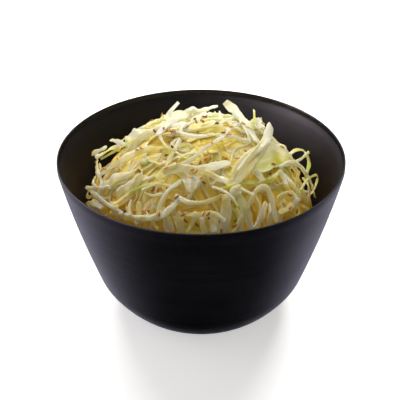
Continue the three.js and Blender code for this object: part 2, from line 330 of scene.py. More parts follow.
fill = inset(outer, WALL + CLEARANCE * MM) / MM
fill = fill[fill[:, 1] < HEAP_CENTRE[2] - CORE_DEPTH]
polar = np.linspace(math.pi / 2, 0, CORE_RINGS + 1)
mound = np.stack([(HEAP_SIZE[0] - CORE_DEPTH) * np.sin(polar),
                  HEAP_CENTRE[2] + (HEAP_SIZE[2] - CORE_DEPTH) * np.cos(polar)], 1)
mound[-1, 0] = 0
shape = spun(np.concatenate([[[0, WALL / MM + CLEARANCE]], fill, mound]) * MM, CORE_SIDES)
draw = np.random.default_rng(CORE_SEED)
waves = draw.normal(0, WAVE_PITCH, (CORE_WAVES, 3))
phases = draw.uniform(0, FULL_TURN, CORE_WAVES)
for corner in shape.verts:
    if corner.co.z > (HEAP_CENTRE[2] + 1) * MM:
        point = np.array(corner.co) / MM
        bump = np.sin(waves @ point + phases).sum() / CORE_WAVES ** 0.5
        dent = hollow(to_map(point)[0]) * CORE_DENT
        corner.co += Vector(outward(point) * (bump * CORE_BUMP - dent) * MM)
core = smooth_piece("heap_core", shape)
# The deep attribute is the painted shade on the core: 1 below the foot height, and elsewhere rising
# with the hollow's depth.
deep = core.data.attributes.new("deep", "FLOAT", "POINT")
for corner, value in zip(core.data.vertices, deep.data):
    depth = float(hollow(to_map(np.array(corner.co) / MM)[0]))
    value.value = 1 if corner.co.z < FOOT_SHADE * MM else depth / SHADE_FROM - 1

core_ground, nodes, shader = new_material("cabbage_core", {
    "Subsurface Weight": 0.3, "Subsurface Radius": (1.0, 0.7, 0.2), "Subsurface Scale": SCATTER,
    "Emission Strength": CORE_GLOW})
place = nodes.make("ShaderNodeTexCoord", output=3)
mottle = place.noise(Scale=MOTTLE_SCALE, Detail=4)
deep = nodes.attribute("deep", output=2)
gold = mottle.between(0.35, 0.65).blend(CORE_GOLD, CORE_PALE)
ground = deep.between(0.1, 0.6).blend(gold, CORE_PAINTED_SHADE)
plug(ground, shader, "Base Color")
# Painted glow in the ground's colour.
plug(ground, shader, "Emission Color")
plug((0.4 + mottle * 0.2).clamped(), shader, "Roughness")
core.data.materials.append(core_ground)
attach(core, "root")
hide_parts("slaw")

# ---------------------------------------------------------------------------------------------
# Packed shreds. Narrow shreds cut across the leaves of a white cabbage, stiff enough to rest on
# the high places under them and to span the rest. They are laid one by one on a map of the heap,
# its dome rolled out flat round the crown, and a relief of that map keeps how high it has grown.
# ---------------------------------------------------------------------------------------------
RELIEF_CELL = 0.5
RELIEF_HALF = int(HEAP_SIZE[0] * LOWEST_POLAR / RELIEF_CELL) + 2
steps = np.arange(-RELIEF_HALF, RELIEF_HALF + 1) * RELIEF_CELL
relief = -CORE_DEPTH - hollow(np.stack(np.meshgrid(steps, steps, indexing="ij"), -1)) * CORE_DENT

PACKED_SHREDS = 480
PACKED_LONG = (20, 50)
PACKED_TAPER = (0.1, 0.8)
SHREDS_TOP = -4.0
SHRED_STEP = 2.0
SHRED_SAG = 0.02
SHRED_ROLL = 0.8
SHRED_UNEVEN = 0.16
THIN_END = 0.55  # thickness towards the leaf's edge, and what the rib at the other end adds
RIB_ADDS = 0.6
MOST_CUP = 0.17
FRILL = (0.1, 0.5)
END_DROP = 0.3
SETTLING = 60
SMOOTHING = 2
RING = 8
RING_SQUARE = 0.35
RING_TURN = (np.arange(RING) + 0.5) * FULL_TURN / RING
RING_ACROSS = np.sign(np.cos(RING_TURN)) * np.abs(np.cos(RING_TURN)) ** RING_SQUARE
RING_UP = np.sign(np.sin(RING_TURN)) * np.abs(np.sin(RING_TURN)) ** RING_SQUARE
CAP = np.array([[0, 7, 2, 1], [7, 6, 3, 2], [6, 5, 4, 3]])

EYE_TILT = math.radians(32.5)
EYE_DISTANCE = 600.0
LOOKED_AT = np.array([-0.6, 0.0, 64.4])
TO_EYE = np.array([0.0, -math.cos(EYE_TILT), math.sin(EYE_TILT)])
EYE = LOOKED_AT + TO_EYE * EYE_DISTANCE

RIB_WHITE = np.array([0.80, 0.78, 0.65])
LEAF_CREAM = np.array([0.91, 0.80, 0.15])
LEAF_GREEN = np.array([0.50, 0.60, 0.06])
# Painted shade: DEEP_GOLD is painted on pieces that lie low and towards the heap's foot, for light
# that reaches them only through other shreds.
DEEP_GOLD = np.array([0.92, 0.72, 0.055])
GOLD_FROM, GOLD_TO = -0.2, -6.0
FOOT_GOLD = 4.5
# Painted light: pieces are painted paler round the crown, where the lights from behind fall, and keep
# less of the painted gold there.
CROWN = np.array([0.0, 28.0])
CROWN_WIDE = 30.0
CROWN_SHARE = 0.95
CROWN_LIGHT = 0.65
LEAF_KEEPS = 0.6
CROWN_PALE = np.array([0.94, 0.95, 0.87])
# Painted shade: the heap's middle is painted darker and deeper yellow, which tones down the light from
# overhead there.
HEART = np.array([0.0, 1.0])
HEART_WIDE = 20.0
HEART_TINT = np.array([0.06, 0.11, 0.62])
# White for pale veins, fibres and patches, and for cut edges, whose whitening is partly a painted
# highlight.
CUT_AND_HIGHLIGHT_WHITE = (0.86, 0.85, 0.76, 1)
FIBRE_STRETCH = (0.12, 1.7, 1.0)
VEIN_STRETCH = (0.05, 0.55, 1.0)
PATCH_SCALE = 0.16
FIBRE_DEPTH = 0.6 * MM
# Painted glow: cabbage gives out a little light in the colour of its tone, standing in for light
# scattered through the heap.
GLOW = 0.05
FOLD = math.radians(44)


def from_map(place, lift):
    """Points at places (u, v) of the heap's map, raised by lift over its level."""
    polar = np.minimum(np.linalg.norm(place, axis=-1) / HEAP_SIZE[0], LOWEST_POLAR)
    azimuth = np.arctan2(place[..., 1], place[..., 0])
    way = np.stack([np.sin(polar) * np.cos(azimuth), np.sin(polar) * np.sin(azimuth),
                    np.cos(polar)], -1) * HEAP_SIZE
    reach = np.linalg.norm(way, axis=-1)
    return HEAP_CENTRE + way * (1 + lift / reach)[..., None]


def cells(place):
    """Row and column in the relief of places on the map."""
    index = np.rint(place / RELIEF_CELL).astype(int) + RELIEF_HALF
    return tuple(np.moveaxis(np.clip(index, 0, 2 * RELIEF_HALF), -1, 0))


def finer(values, times, axis):
    """Values with more in between, evenly along one axis."""
    values = np.moveaxis(values, axis, 0)
    at = np.linspace(0, len(values) - 1, (len(values) - 1) * times + 1)
    low = np.minimum(at.astype(int), len(values) - 2)
    share = (at - low).reshape((-1,) + (1,) * (values.ndim - 1))
    return np.moveaxis(values[low] * (1 - share) + values[low + 1] * share, 0, axis)


def stamp(place, top):
    """Raises the relief to the top of a grid of places."""
    place = finer(finer(place, 5, 0), 4, 1)
    top = finer(finer(top, 5, 0), 4, 1)
    np.maximum.at(relief, cells(place), top)


def beside(place, half_width, count):
    """A grid of places: at each station of a course, places across it."""
    along = np.gradient(place, axis=0)
    along /= np.maximum(np.linalg.norm(along, axis=1), 1e-9)[:, None]
    across = np.stack([-along[:, 1], along[:, 0]], 1)
    steps = np.linspace(-1, 1, count)
    return place[:, None] + across[:, None] * (half_width[:, None] * steps)[..., None]


def anywhere():
    """The polar angle and the azimuth of a random place, drawn evenly over the dome."""
    polar = math.acos(1 - draw.random() * (1 - math.cos(LOWEST_POLAR)))
    return polar, draw.random() * FULL_TURN


def random_track(length, step, bend, swing, spread):
    """A course over the map: anywhere on the dome, running down from the crown give or take a
    spread, and bent at random."""
    polar, azimuth = anywhere()
    middle = HEAP_SIZE[0] * polar * np.array([math.cos(azimuth), math.sin(azimuth)])
    share = np.linspace(-1, 1, int(length / step) + 3)
    turned = (azimuth + draw.normal(0, spread) + draw.normal(0, bend) * share / 2
              + draw.normal(0, swing) * np.sin(share * 3))
    steps = np.stack([np.cos(turned), np.sin(turned)], 1) * length / (len(share) - 1)
    return middle + np.cumsum(steps, axis=0) - steps.sum(0) / 2


def keep_inside(points, room):
    """Moves points towards the axis until the bowl's wall leaves them room."""
    limit = np.interp(points[..., 2] * MM, inner[:, 1], inner[:, 0]) / MM - CLEARANCE - room
    limit = np.where(points[..., 2] * MM > BOWL_HEIGHT, RIM_RADIUS / MM, limit)
    reach = np.maximum(np.hypot(points[..., 0], points[..., 1]), 1e-6)
    points[..., :2] *= np.minimum(1, limit / reach)[..., None]
    return points


def flesh(leaf, green, place, lift, edge):
    """The colour of cabbage: from white rib to cream leaf, and from cream to green. Painted light and
    shade come on top: golden lower down and towards the heap's foot, where light comes only
    through other shreds; paler at the lit crown; darker and deeper yellow in the heap's middle.
    Its alpha is how much it is a cut edge, which the material whitens partly as a painted highlight."""
    foot = (np.linalg.norm(place, axis=-1) / HEAP_SIZE[0] / LOWEST_POLAR) ** 2
    lift = lift - FOOT_GOLD * np.minimum(foot, 1)
    crown = np.exp(-((place - CROWN) ** 2).sum(-1) / CROWN_WIDE ** 2)
    heart = np.exp(-((place - HEART) ** 2).sum(-1) / HEART_WIDE ** 2)
    leaf, green, lift, edge, heart, crown = (
        part[..., None] for part in np.broadcast_arrays(leaf, green, lift, edge, heart, crown))
    colour = RIB_WHITE + (LEAF_CREAM - RIB_WHITE) * leaf
    crown = crown * (1 - LEAF_KEEPS * leaf)
    heart = heart * leaf ** 0.5
    colour = colour + (CROWN_PALE - colour) * crown * CROWN_SHARE
    colour = (colour + (LEAF_GREEN - colour) * green) * (1 - heart * HEART_TINT)
    sunk = np.clip((lift - GOLD_FROM) / (GOLD_TO - GOLD_FROM), 0, 1) * (1 - CROWN_LIGHT * crown)
    return np.concatenate([colour + (DEEP_GOLD - colour) * sunk, edge * (1 - sunk)], -1)


class Pile:
    """Closed pieces of cabbage gathered into the arrays of one mesh."""

    def __init__(self):
        self.corners, self.faces, self.grain, self.tone, self.count = [], [], [], [], 0

    def add(self, corners, faces, grain, tone):
        self.corners.append(corners.reshape(-1, 3))
        self.faces.append(faces + self.count)
        self.grain.append(grain.reshape(-1, 3))
        self.tone.append(tone.reshape(-1, 4))
        self.count += corners.size // 3

    def build(self, name, material):
        """Makes the object. Its corners carry the place along and across the grain, and the
        tone of the flesh."""
        mesh = bpy.data.meshes.new(name)
        mesh.from_pydata(np.concatenate(self.corners) * MM, [],
                         np.concatenate(self.faces).tolist())
        grain = mesh.attributes.new("grain", "FLOAT_VECTOR", "POINT")
        grain.data.foreach_set("vector", np.concatenate(self.grain).astype(np.float32).ravel())
        tone = mesh.attributes.new("tone", "FLOAT_COLOR", "POINT")
        tone.data.foreach_set("color", np.concatenate(self.tone).astype(np.float32).ravel())
        mesh.shade_smooth()
        mesh.set_sharp_from_angle(angle=FOLD)
        mesh.materials.append(material)
        made = add_object(name, mesh)
        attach(made, "root")
        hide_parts("slaw")


def cabbage_material(name, translucence, sheen, cover, cut, pale, juice):
    """Moist cabbage: fibres along each piece, whiter at its cut edges, partly as a painted highlight,
    light shining through, and a faint painted glow in the colour of its tone.
    """
    material, nodes, shader = new_material(name, {
        "Subsurface Weight": 0.5, "Subsurface Radius": (1.0, 0.88, 0.40),
        "Subsurface Scale": SCATTER, "IOR": 1.36, "Specular IOR Level": sheen,
        "Emission Strength": GLOW})
    grain = nodes.attribute("grain", output=1)
    colour = nodes.attribute("tone")
    edge = colour.sibling("Alpha")
    fibres = grain.stretched(FIBRE_STRETCH).noise(Scale=1, Detail=4, Roughness=0.6)
    veins = grain.stretched(VEIN_STRETCH).noise(Scale=1, Detail=2, Roughness=0.4)
    patches = grain.noise(Scale=PATCH_SCALE, Detail=2)
    juicy = nodes.make("ShaderNodeGamma", None, {"Color": colour, "Gamma": juice})
    # Cut edges are whitened partly as a painted highlight along them.
    whiter = (veins.between(0.48, 0.68) * pale + fibres.between(0.45, 0.75) * 0.06
              + patches.between(0.4, 0.7) * 0.05 + edge * cut).clamped()
    seen = whiter.blend(veins.between(0.42, 0.58).blend(juicy, colour), CUT_AND_HIGHLIGHT_WHITE)
    plug(seen, shader, "Base Color")
    # Painted glow in the tone's colour.
    plug(colour, shader, "Emission Color")
    plug((edge * (1 - cover) + patches * 0.2 + (cover - 0.1)).clamped(), shader, "Alpha")
    plug((0.22 + fibres * 0.25).clamped(), shader, "Roughness")
    plug(nodes.make("ShaderNodeBump", None, {
        "Strength": 0.5, "Distance": FIBRE_DEPTH, "Height": fibres * 0.25 + veins}),
        shader, "Normal")
    glow = nodes.make("ShaderNodeBsdfTranslucent", None, {"Color": seen})
    through = nodes.make("ShaderNodeMixShader", None, {
        0: translucence, 1: Wire(nodes.tree, shader.outputs[0]), 2: glow})
    plug(through, nodes.tree.nodes["Material Output"], "Surface")
    return material


def toward_eye(targets, lift):
    """The points at which lines of sight to the targets meet the heap, raised by lift. A line
    that passes the heap gives its point nearest to it."""
    size = HEAP_SIZE + np.asarray(lift)[..., None]
    start = (EYE - HEAP_CENTRE) / size
    way = (targets - EYE) / size
    square = (way ** 2).sum(-1)
    nearest = -(start * way).sum(-1) / square
    inside = nearest ** 2 - ((start ** 2).sum(-1) - 1) / square
    met = nearest - np.sqrt(np.maximum(inside, 0))
    return (start + way * met[..., None]) * size + HEAP_CENTRE


def strip_faces(count):
    """Faces of a closed strip: its rings of corners joined, and a cap on each end."""
    low = np.arange(count - 1)[:, None] * RING + np.arange(RING)
    low_next = np.roll(low, -1, axis=1)
    walls = np.stack([low_next, low_next + RING, low + RING, low], -1).reshape(-1, 4)
    return np.concatenate([walls, CAP, CAP[:, ::-1] + (count - 1) * RING])


def bridged(ground):
    """Lifts at which a shred rests on the ground: on its high places, with sagging spans."""
    rest = ground.copy()
    for _ in range(SETTLING):
        rest[1:-1] = np.maximum(ground[1:-1], (rest[:-2] + rest[2:]) / 2 - SHRED_SAG)
        rest[0] = max(ground[0], rest[1] - END_DROP)
        rest[-1] = max(ground[-1], rest[-2] - END_DROP)
    for _ in range(SMOOTHING):
        rest[1:-1] = (rest[:-2] + rest[1:-1] * 2 + rest[2:]) / 4
    return rest


def walked_along(points):
    """How far along a course each of its points lies."""
    return np.concatenate([[0], np.cumsum(np.linalg.norm(np.diff(points, axis=0), axis=1))])


def square_to(points, lean, turn):
    """The directions across a shred and up from it, at each point, rolled about its length."""
    along = np.gradient(points, axis=0)
    along /= np.linalg.norm(along, axis=1)[:, None]
    side = np.cross(outward(points) + TO_EYE * lean, along)
    side /= np.linalg.norm(side, axis=1)[:, None]
    up = np.cross(along, side)
    turn = turn[:, None]
    return side * np.cos(turn) + up * np.sin(turn), up * np.cos(turn) - side * np.sin(turn)


def lay_shred(pile, points, wide, thick, leaf, green, roll=0.0, lean=0.0, tapers=(0.5, 0.5),
              highest=99.0, seen=False):
    """Lets one shred down onto what lies under it, nowhere lower than its own points. One that
    is seen keeps its place in the view as it comes to rest."""
    place, lift = to_map(points)
    count = len(points)
    share = np.linspace(-1, 1, count)
    narrow = 1 - np.where(share < 0, tapers[0], tapers[1]) * np.abs(share) ** 5
    ribbed = share * (1 if draw.random() < 0.5 else -1) * 0.5 + 0.5
    thick = thick * (THIN_END + RIB_ADDS * ribbed)
    uneven = np.sin(share * draw.uniform(2, 7) + draw.uniform(0, 6)) * SHRED_UNEVEN
    half_width = wide / 2 * narrow * (1 + uneven)
    turn = roll * share / 2
    half_thick = thick / 2 + np.abs(np.sin(turn)) * half_width * 0.5
    under = relief[cells(beside(place, half_width, 7))]
    ground = np.maximum((under.max(axis=1) * 2 + under.mean(axis=1)) / 3 + half_thick, lift)
    rest = bridged(ground)
    if rest.mean() > highest:
        return
    points = keep_inside(toward_eye(points, rest) if seen else from_map(place, rest), wide / 2)
    stamp(beside(place, half_width, 5), np.repeat((rest + half_thick)[:, None], 5, axis=1))

    side, up = square_to(points, lean, turn)
    across = half_width[:, None] * RING_ACROSS
    rise = thick[:, None] / 2 * RING_UP
    cup = draw.uniform(-MOST_CUP, MOST_CUP)
    rise = rise + cup * (across ** 2) / np.maximum(half_width, 1)[:, None]
    frill = draw.uniform(*FRILL) * (1.2 - ribbed)
    wave = np.sin(share * count * 0.7 + draw.uniform(0, 6)) * frill
    rise = rise + wave[:, None] * across
    corners = points[:, None] + side[:, None] * across[..., None] + up[:, None] * rise[..., None]
    start = draw.random() * 1000
    grain = np.stack([walked_along(points)[:, None] + 0 * across, across,
                      np.full_like(across, start)], -1)
    blush = green * np.clip(0.6 + share * draw.uniform(-1, 1), 0, 1)
    drift = np.clip(leaf + (0.5 - ribbed) * 0.7, 0, 1)
    edge = np.maximum(np.abs(RING_ACROSS)[None] ** 6, np.abs(share)[:, None] ** 20)
    tone = flesh(drift[:, None], blush[:, None], place[:, None], rest[:, None], edge)
    pile.add(corners, strip_faces(count), grain, tone)


shred_flesh = cabbage_material("cabbage_shred", translucence=0.55, sheen=0.50, cover=0.93,
                               cut=0.45, pale=0.3, juice=1.3)
packed_shreds = Pile()
for number in range(PACKED_SHREDS):
    track = random_track(draw.uniform(*PACKED_LONG), SHRED_STEP, bend=0.9, swing=0.5, spread=1.5)
    leaf = draw.random() ** 1.5
    lay_shred(packed_shreds, from_map(track, np.full(len(track), -CORE_DEPTH)),
              draw.uniform(1.4, 2.4 + 1.8 * leaf), 1.4 - 0.8 * leaf, leaf, draw.random() ** 6,
              roll=draw.normal(0, SHRED_ROLL), tapers=draw.uniform(*PACKED_TAPER, 2),
              highest=SHREDS_TOP - hollow(track).max())
packed_shreds.build("packed_shreds", shred_flesh)

# ---------------------------------------------------------------------------------------------
# Packed leaves. Wider pieces of cabbage leaf, thin and soft, that sag over whatever lies under
# them. Between the shreds of the top they show as the yellow ground of the heap, painted palest
# at its crown for the light that falls there.
# ---------------------------------------------------------------------------------------------
PACKED_LEAVES = 430
LEAVES_TOP = -1.0
LEAF_WIDE = (5, 15)
LEAF_LONG = (24, 56)
LEAF_THICK = 0.55
LEAF_STEP = 2.0
LEAF_ACROSS = 7
NARROW_LEAF = 7.0
NARROW_COLUMNS = [0, 2, 3, 4, 6]
LEAF_SAG = 0.012
LEAF_WAVE = 0.15
LEAF_CURL = 0.15
LEAF_BLUNT = 14
LEAF_NARROWS = 0.6
LEAF_THINS = 0.6
DRAPING = 40
EASING = 8


def ranged(bounds, share):
    return bounds[0] + (bounds[1] - bounds[0]) * share


def sheet_faces(rows, columns):
    """Faces of a closed sheet: a grid on top, the same grid underneath, and its rim."""
    top = np.arange(rows * columns).reshape(rows, columns)
    under = top + rows * columns
    quads = [np.stack([top[:-1, :-1], top[1:, :-1], top[1:, 1:], top[:-1, 1:]], -1),
             np.stack([under[:-1, :-1], under[:-1, 1:], under[1:, 1:], under[1:, :-1]], -1)]
    rim = np.concatenate([top[:-1, 0], top[-1, :-1], top[:0:-1, -1], top[0, :0:-1]])
    after = np.roll(rim, -1)
    quads.append(np.stack([rim, rim + rows * columns, after + rows * columns, after], -1))
    return np.concatenate([quad.reshape(-1, 4) for quad in quads])


def around(lifts):
    """The sum of the four lifts next to each one in a grid."""
    edged = np.pad(lifts, 1, mode="edge")
    return edged[:-2, 1:-1] + edged[2:, 1:-1] + edged[1:-1, :-2] + edged[1:-1, 2:]


def draped(ground):
    """Lifts at which a leaf lies on the ground: it sags into the low places."""
    rest = ground.copy()
    for _ in range(DRAPING):
        rest = np.maximum(ground, around(rest) / 4 - LEAF_SAG)
    for _ in range(EASING):
        rest = (rest * 2 + around(rest)) / 6
    return rest


def lay_leaf(pile, place, wide, leaf, green, highest, curl):
    """Lays one leaf along a course on the map, if it comes to lie low enough."""
    share = np.linspace(-1, 1, len(place))
    wobble = np.sin(share * draw.uniform(2, 5) + draw.uniform(0, 6)) * LEAF_WAVE
    half_width = wide / 2 * (1 - np.abs(share) ** LEAF_BLUNT * LEAF_NARROWS) * (1 + wobble)
    spots = beside(place, half_width, LEAF_ACROSS)
    rest = draped(relief[cells(spots)])
    if rest.mean() > highest:
        return
    across = np.linspace(-1, 1, LEAF_ACROSS)
    rest = rest + curl * across ** 2 * (1 - share ** 2)[:, None]
    stamp(spots, rest + LEAF_THICK)
    thin = LEAF_THICK * (1 - LEAF_THINS * across ** 4)
    corners = keep_inside(np.stack([from_map(spots, rest + thin),
                                    from_map(spots, rest)]), 0.2)
    walked = share[:, None] * LEAF_STEP * len(place) / 2 + np.zeros_like(rest)
    aside = half_width[:, None] * across
    start = draw.random() * 1000
    grain = np.stack([walked, aside, np.full_like(aside, start)], -1)
    edge = np.maximum(np.abs(across)[None], np.abs(share)[:, None]) ** 6
    blush = green * np.clip(0.5 + share[:, None] * draw.uniform(-1, 1)
                            + across * draw.uniform(-1, 1), 0, 1)
    tone = flesh(np.clip(leaf + wobble[:, None] + across * 0.2, 0, 1), blush, spots, rest, edge)
    if wide < NARROW_LEAF:
        corners, grain, tone = (part[..., NARROW_COLUMNS, :] for part in (corners, grain, tone))
    pile.add(corners, sheet_faces(*tone.shape[:2]), np.stack([grain, grain]),
             np.stack([tone, tone]))


leaf_flesh = cabbage_material("cabbage_leaf", translucence=0.45, sheen=0.30, cover=0.85,
                              cut=0.35, pale=0.15, juice=1.5)
packed_leaves = Pile()
for number in range(PACKED_LEAVES):
    track = random_track(draw.uniform(*LEAF_LONG), LEAF_STEP, bend=0.8, swing=0.3, spread=0.8)
    wide = ranged(LEAF_WIDE, draw.random() ** 2)
    lay_leaf(packed_leaves, track, wide, draw.uniform(0.55, 1.0), draw.random() ** 6,
             LEAVES_TOP - hollow(track).max(), draw.uniform(-1, 1) * wide * LEAF_CURL)
packed_leaves.build("packed_leaves", leaf_flesh)

# ---------------------------------------------------------------------------------------------
# Loose shreds. Short narrow shreds, more bent than the packed ones, that lie on the packed layers.
# None has its middle on the pale crown, which the large pieces of the top cover.
# ---------------------------------------------------------------------------------------------
LOOSE_SHREDS = 150
LOOSE_LONG = (14, 40)
LOOSE_TAPER = (0.1, 0.6)
LOOSE_TOP = 0.8
CROWN_CLEAR = 28.0

loose_shreds = Pile()
for number in range(LOOSE_SHREDS):
    track = random_track(draw.uniform(*LOOSE_LONG), SHRED_STEP, bend=1.4, swing=0.5, spread=1.2)
    if np.linalg.norm(track.mean(axis=0) - CROWN) < CROWN_CLEAR:
        continue
    lay_shred(loose_shreds, from_map(track, np.full(len(track), -CORE_DEPTH)),
              draw.uniform(0.9, 1.8), draw.uniform(0.7, 1.1), draw.random() * 0.3,
              draw.random() ** 8, roll=draw.normal(0, SHRED_ROLL),
              tapers=draw.uniform(*LOOSE_TAPER, 2), highest=LOOSE_TOP - hollow(track).max())
loose_shreds.build("loose_shreds", shred_flesh)

# ---------------------------------------------------------------------------------------------
# Outer shreds. The larger shreds over the back and the sides of the heap: evenly spread, each an
# arc of its own that rises clear of the heap and tucks its ends in. Smaller ones lie between.
# ---------------------------------------------------------------------------------------------
LAID_SHREDS = 50
LAID_POLAR = math.radians(84)
GOLDEN_ANGLE = math.pi * (3 - math.sqrt(5))
HEAP_SEED = 2024
SHRED_LONG = (26, 58)
SHRED_WIDE = (1.8, 4.2)
SHRED_ARCH = (0.5, 1.8)
END_TUCK = 4
MOST_BEND = 1.6
MOST_TWIST = 1.1
FAR_CORNERS = 20000
FAR_LONG = (12, 46)
FAR_ARCH = (-1, 2.5)
FAR_TOP = 2.5
FACING_SEAT = 0.35  # how squarely the heap may face the seat where these shreds lie
FACING_LOOSE = 0.3
BLUNT_ENDS = (0.15, 0.15)

stream = HEAP_SEED


def next_number():
    """The next of a repeatable stream of numbers from 0 to 1."""
    global stream
    stream = (stream * 1664525 + 1013904223) % 2 ** 32
    return stream / 2 ** 32


def spline(controls, step):
    """Points evenly along a smooth curve through the controls."""
    padded = np.concatenate([[2 * controls[0] - controls[1]], controls,
                             [2 * controls[-1] - controls[-2]]])
    pieces = []
    for a, b, c, d in zip(padded, padded[1:], padded[2:], padded[3:]):
        s = np.linspace(0, 1, 12, endpoint=False)[:, None]
        pieces.append(0.5 * (2 * b + (c - a) * s + (2 * a - 5 * b + 4 * c - d) * s ** 2
                             + (3 * b - a - 3 * c + d) * s ** 3))
    fine = np.concatenate(pieces + [controls[-1:]])
    walked = walked_along(fine)
    shares = np.linspace(0, walked[-1], int(walked[-1] / step) + 3)
    return np.stack([np.interp(shares, walked, fine[:, k]) for k in range(fine.shape[1])], 1)


outer_shreds = Pile()
for number in range(LAID_SHREDS):
    polar = math.acos(1 - (number + 0.5) / LAID_SHREDS * (1 - math.cos(LAID_POLAR)))
    middle = HEAP_SIZE[0] * polar * np.array([math.cos(number * GOLDEN_ANGLE),
                                              math.sin(number * GOLDEN_ANGLE)])
    heading = next_number() * math.pi
    bend = (next_number() * 2 - 1) * MOST_BEND
    length = ranged(SHRED_LONG, next_number())
    wide = ranged(SHRED_WIDE, next_number() ** 2)
    arch = ranged(SHRED_ARCH, next_number())
    twist = (next_number() * 2 - 1) * MOST_TWIST
    share = np.array([-1, -0.5, 0, 0.5, 1])
    turned = heading + bend * share / 2
    spots = middle + np.stack([np.cos(turned), np.sin(turned)], 1) * (share * length / 2)[:, None]
    lift = arch * (1 - share ** 2) - END_TUCK * share ** 2
    if outward(from_map(middle, np.array(0.0))) @ TO_EYE > FACING_SEAT:
        continue
    lay_shred(outer_shreds, spline(from_map(spots, lift), SHRED_STEP), wide, 0.9,
              draw.uniform(0, 0.8), draw.random() ** 5, twist)
while outer_shreds.count < FAR_CORNERS:
    track = random_track(draw.uniform(*FAR_LONG), SHRED_STEP, bend=1.2, swing=0.6, spread=1.3)
    if outward(from_map(track[len(track) // 2], np.array(0.0))) @ TO_EYE > FACING_LOOSE:
        continue
    leaf = draw.random()
    arch = draw.uniform(*FAR_ARCH) * (1 - np.linspace(-1, 1, len(track)) ** 2) - 1
    lay_shred(outer_shreds, from_map(track, arch), draw.uniform(1.2, 2.2 + 2.4 * leaf),
              1.2 - 0.6 * leaf, leaf * 0.6, draw.random() ** 5,
              roll=draw.normal(0, SHRED_ROLL), tapers=BLUNT_ENDS,
              highest=FAR_TOP - hollow(track).max() * 1.5)
outer_shreds.build("outer_shreds", shred_flesh)

# ---------------------------------------------------------------------------------------------
# Top leaves. Broad soft pieces of leaf that lie uppermost towards the seat, each held between the
# courses of its two edges. A course runs through pixels x and y of the view, each with its lift
# over the heap's level in millimetres.
# ---------------------------------------------------------------------------------------------
PICTURE_SIDE = 400
PICTURE_SCALE = 1.749
PICTURE_MIDDLE = PICTURE_SIDE / 2
TO_RIGHT = np.array([1.0, 0, 0])
EYE_UP = np.array([0.0, math.sin(EYE_TILT), math.cos(EYE_TILT)])
RULED_ACROSS = 9
RULED_STEP = 1.5

TOP_LEAVES = [  # leafiness, greenness, lower edge, upper edge
    (0.9, 0.0, [186, 132, 0, 203, 133, 0, 226, 133, 0], [190, 124, 1, 205, 121, 1, 222, 123, 1]),
    (0.3, 0.0, [180, 122, 0, 192, 121, 0, 206, 119, 0],
     [186, 112, 2, 193, 107, 4, 200, 109, 4, 206, 112, 3]),
    (0.2, 0.0, [164, 124, 1, 172, 123, 1, 182, 122, 1], [172, 114, 4, 176, 116, 4, 180, 118, 3]),
    # Painted shade: this leaf's leafiness and greenness are raised to darken it, for the shade it lies
    # in.
    (0.4, 0.3, [127, 148, 0, 134, 146, 0, 142, 142, 0, 148, 136, 0],
     [126, 139, 1, 131, 132, 3, 138, 129, 3, 144, 130, 1]),
    (0.7, 0.0, [100, 197, -1, 110, 192, 0, 122, 184, 0, 133, 178, 0, 142, 173, 0],
     [103, 183, 1, 112, 176, 2, 124, 172.5, 2, 134, 170.5, 2, 142, 170, 1]),
    (0.5, 0.0, [119, 199, -1, 127, 194, 1, 137, 187, 1, 143, 179, 1],
     [118, 190, 1, 126, 183, 3, 136, 177, 3, 142, 172, 2]),
    (0.3, 0.0, [186, 189, 2, 191, 193, 3, 199, 187, 2], [182, 180, 1, 192, 176, 2, 204, 178, 1]),
    (0.8, 0.5, [251, 171, 2, 264, 172, 2, 278, 167, 1, 290, 164, 0],
     [260, 148, 0, 268, 143, 2, 280, 144, 2, 288, 153, 1, 296, 162, 0]),
    (0.3, 0.0, [254, 131, 0, 258, 133, 1, 262, 128, 2], [252, 124, 2, 257, 120, 4, 261, 118, 5]),
    (0.3, 0.0, [92, 209, -1, 98, 212, -1, 104, 214, -1], [88, 205, 0, 94, 203, 1, 101, 207, 0]),
    (0.2, 0.0, [230, 199, 2, 233, 201, 2, 238, 197, 2], [233, 186, 2, 238, 186, 3, 242, 192, 2]),
    (0.9, 1.0, [141, 166, 0, 145, 165, 1, 149, 163, 0], [140, 161, 0, 145, 159, 1, 149, 158, 0]),
]


def seen_at(x, y):
    """Points abreast of the heap's middle that show at pixels x and y of the view."""
    across = (x - PICTURE_MIDDLE) / PICTURE_SCALE
    up = (PICTURE_MIDDLE - y) / PICTURE_SCALE
    return LOOKED_AT + TO_RIGHT * across[:, None] + EYE_UP * up[:, None]


def in_view(course):
    """The points on the heap of a course given in the view."""
    x, y, lift = np.array(course, float).reshape(-1, 3).T
    return toward_eye(seen_at(x, y), lift)


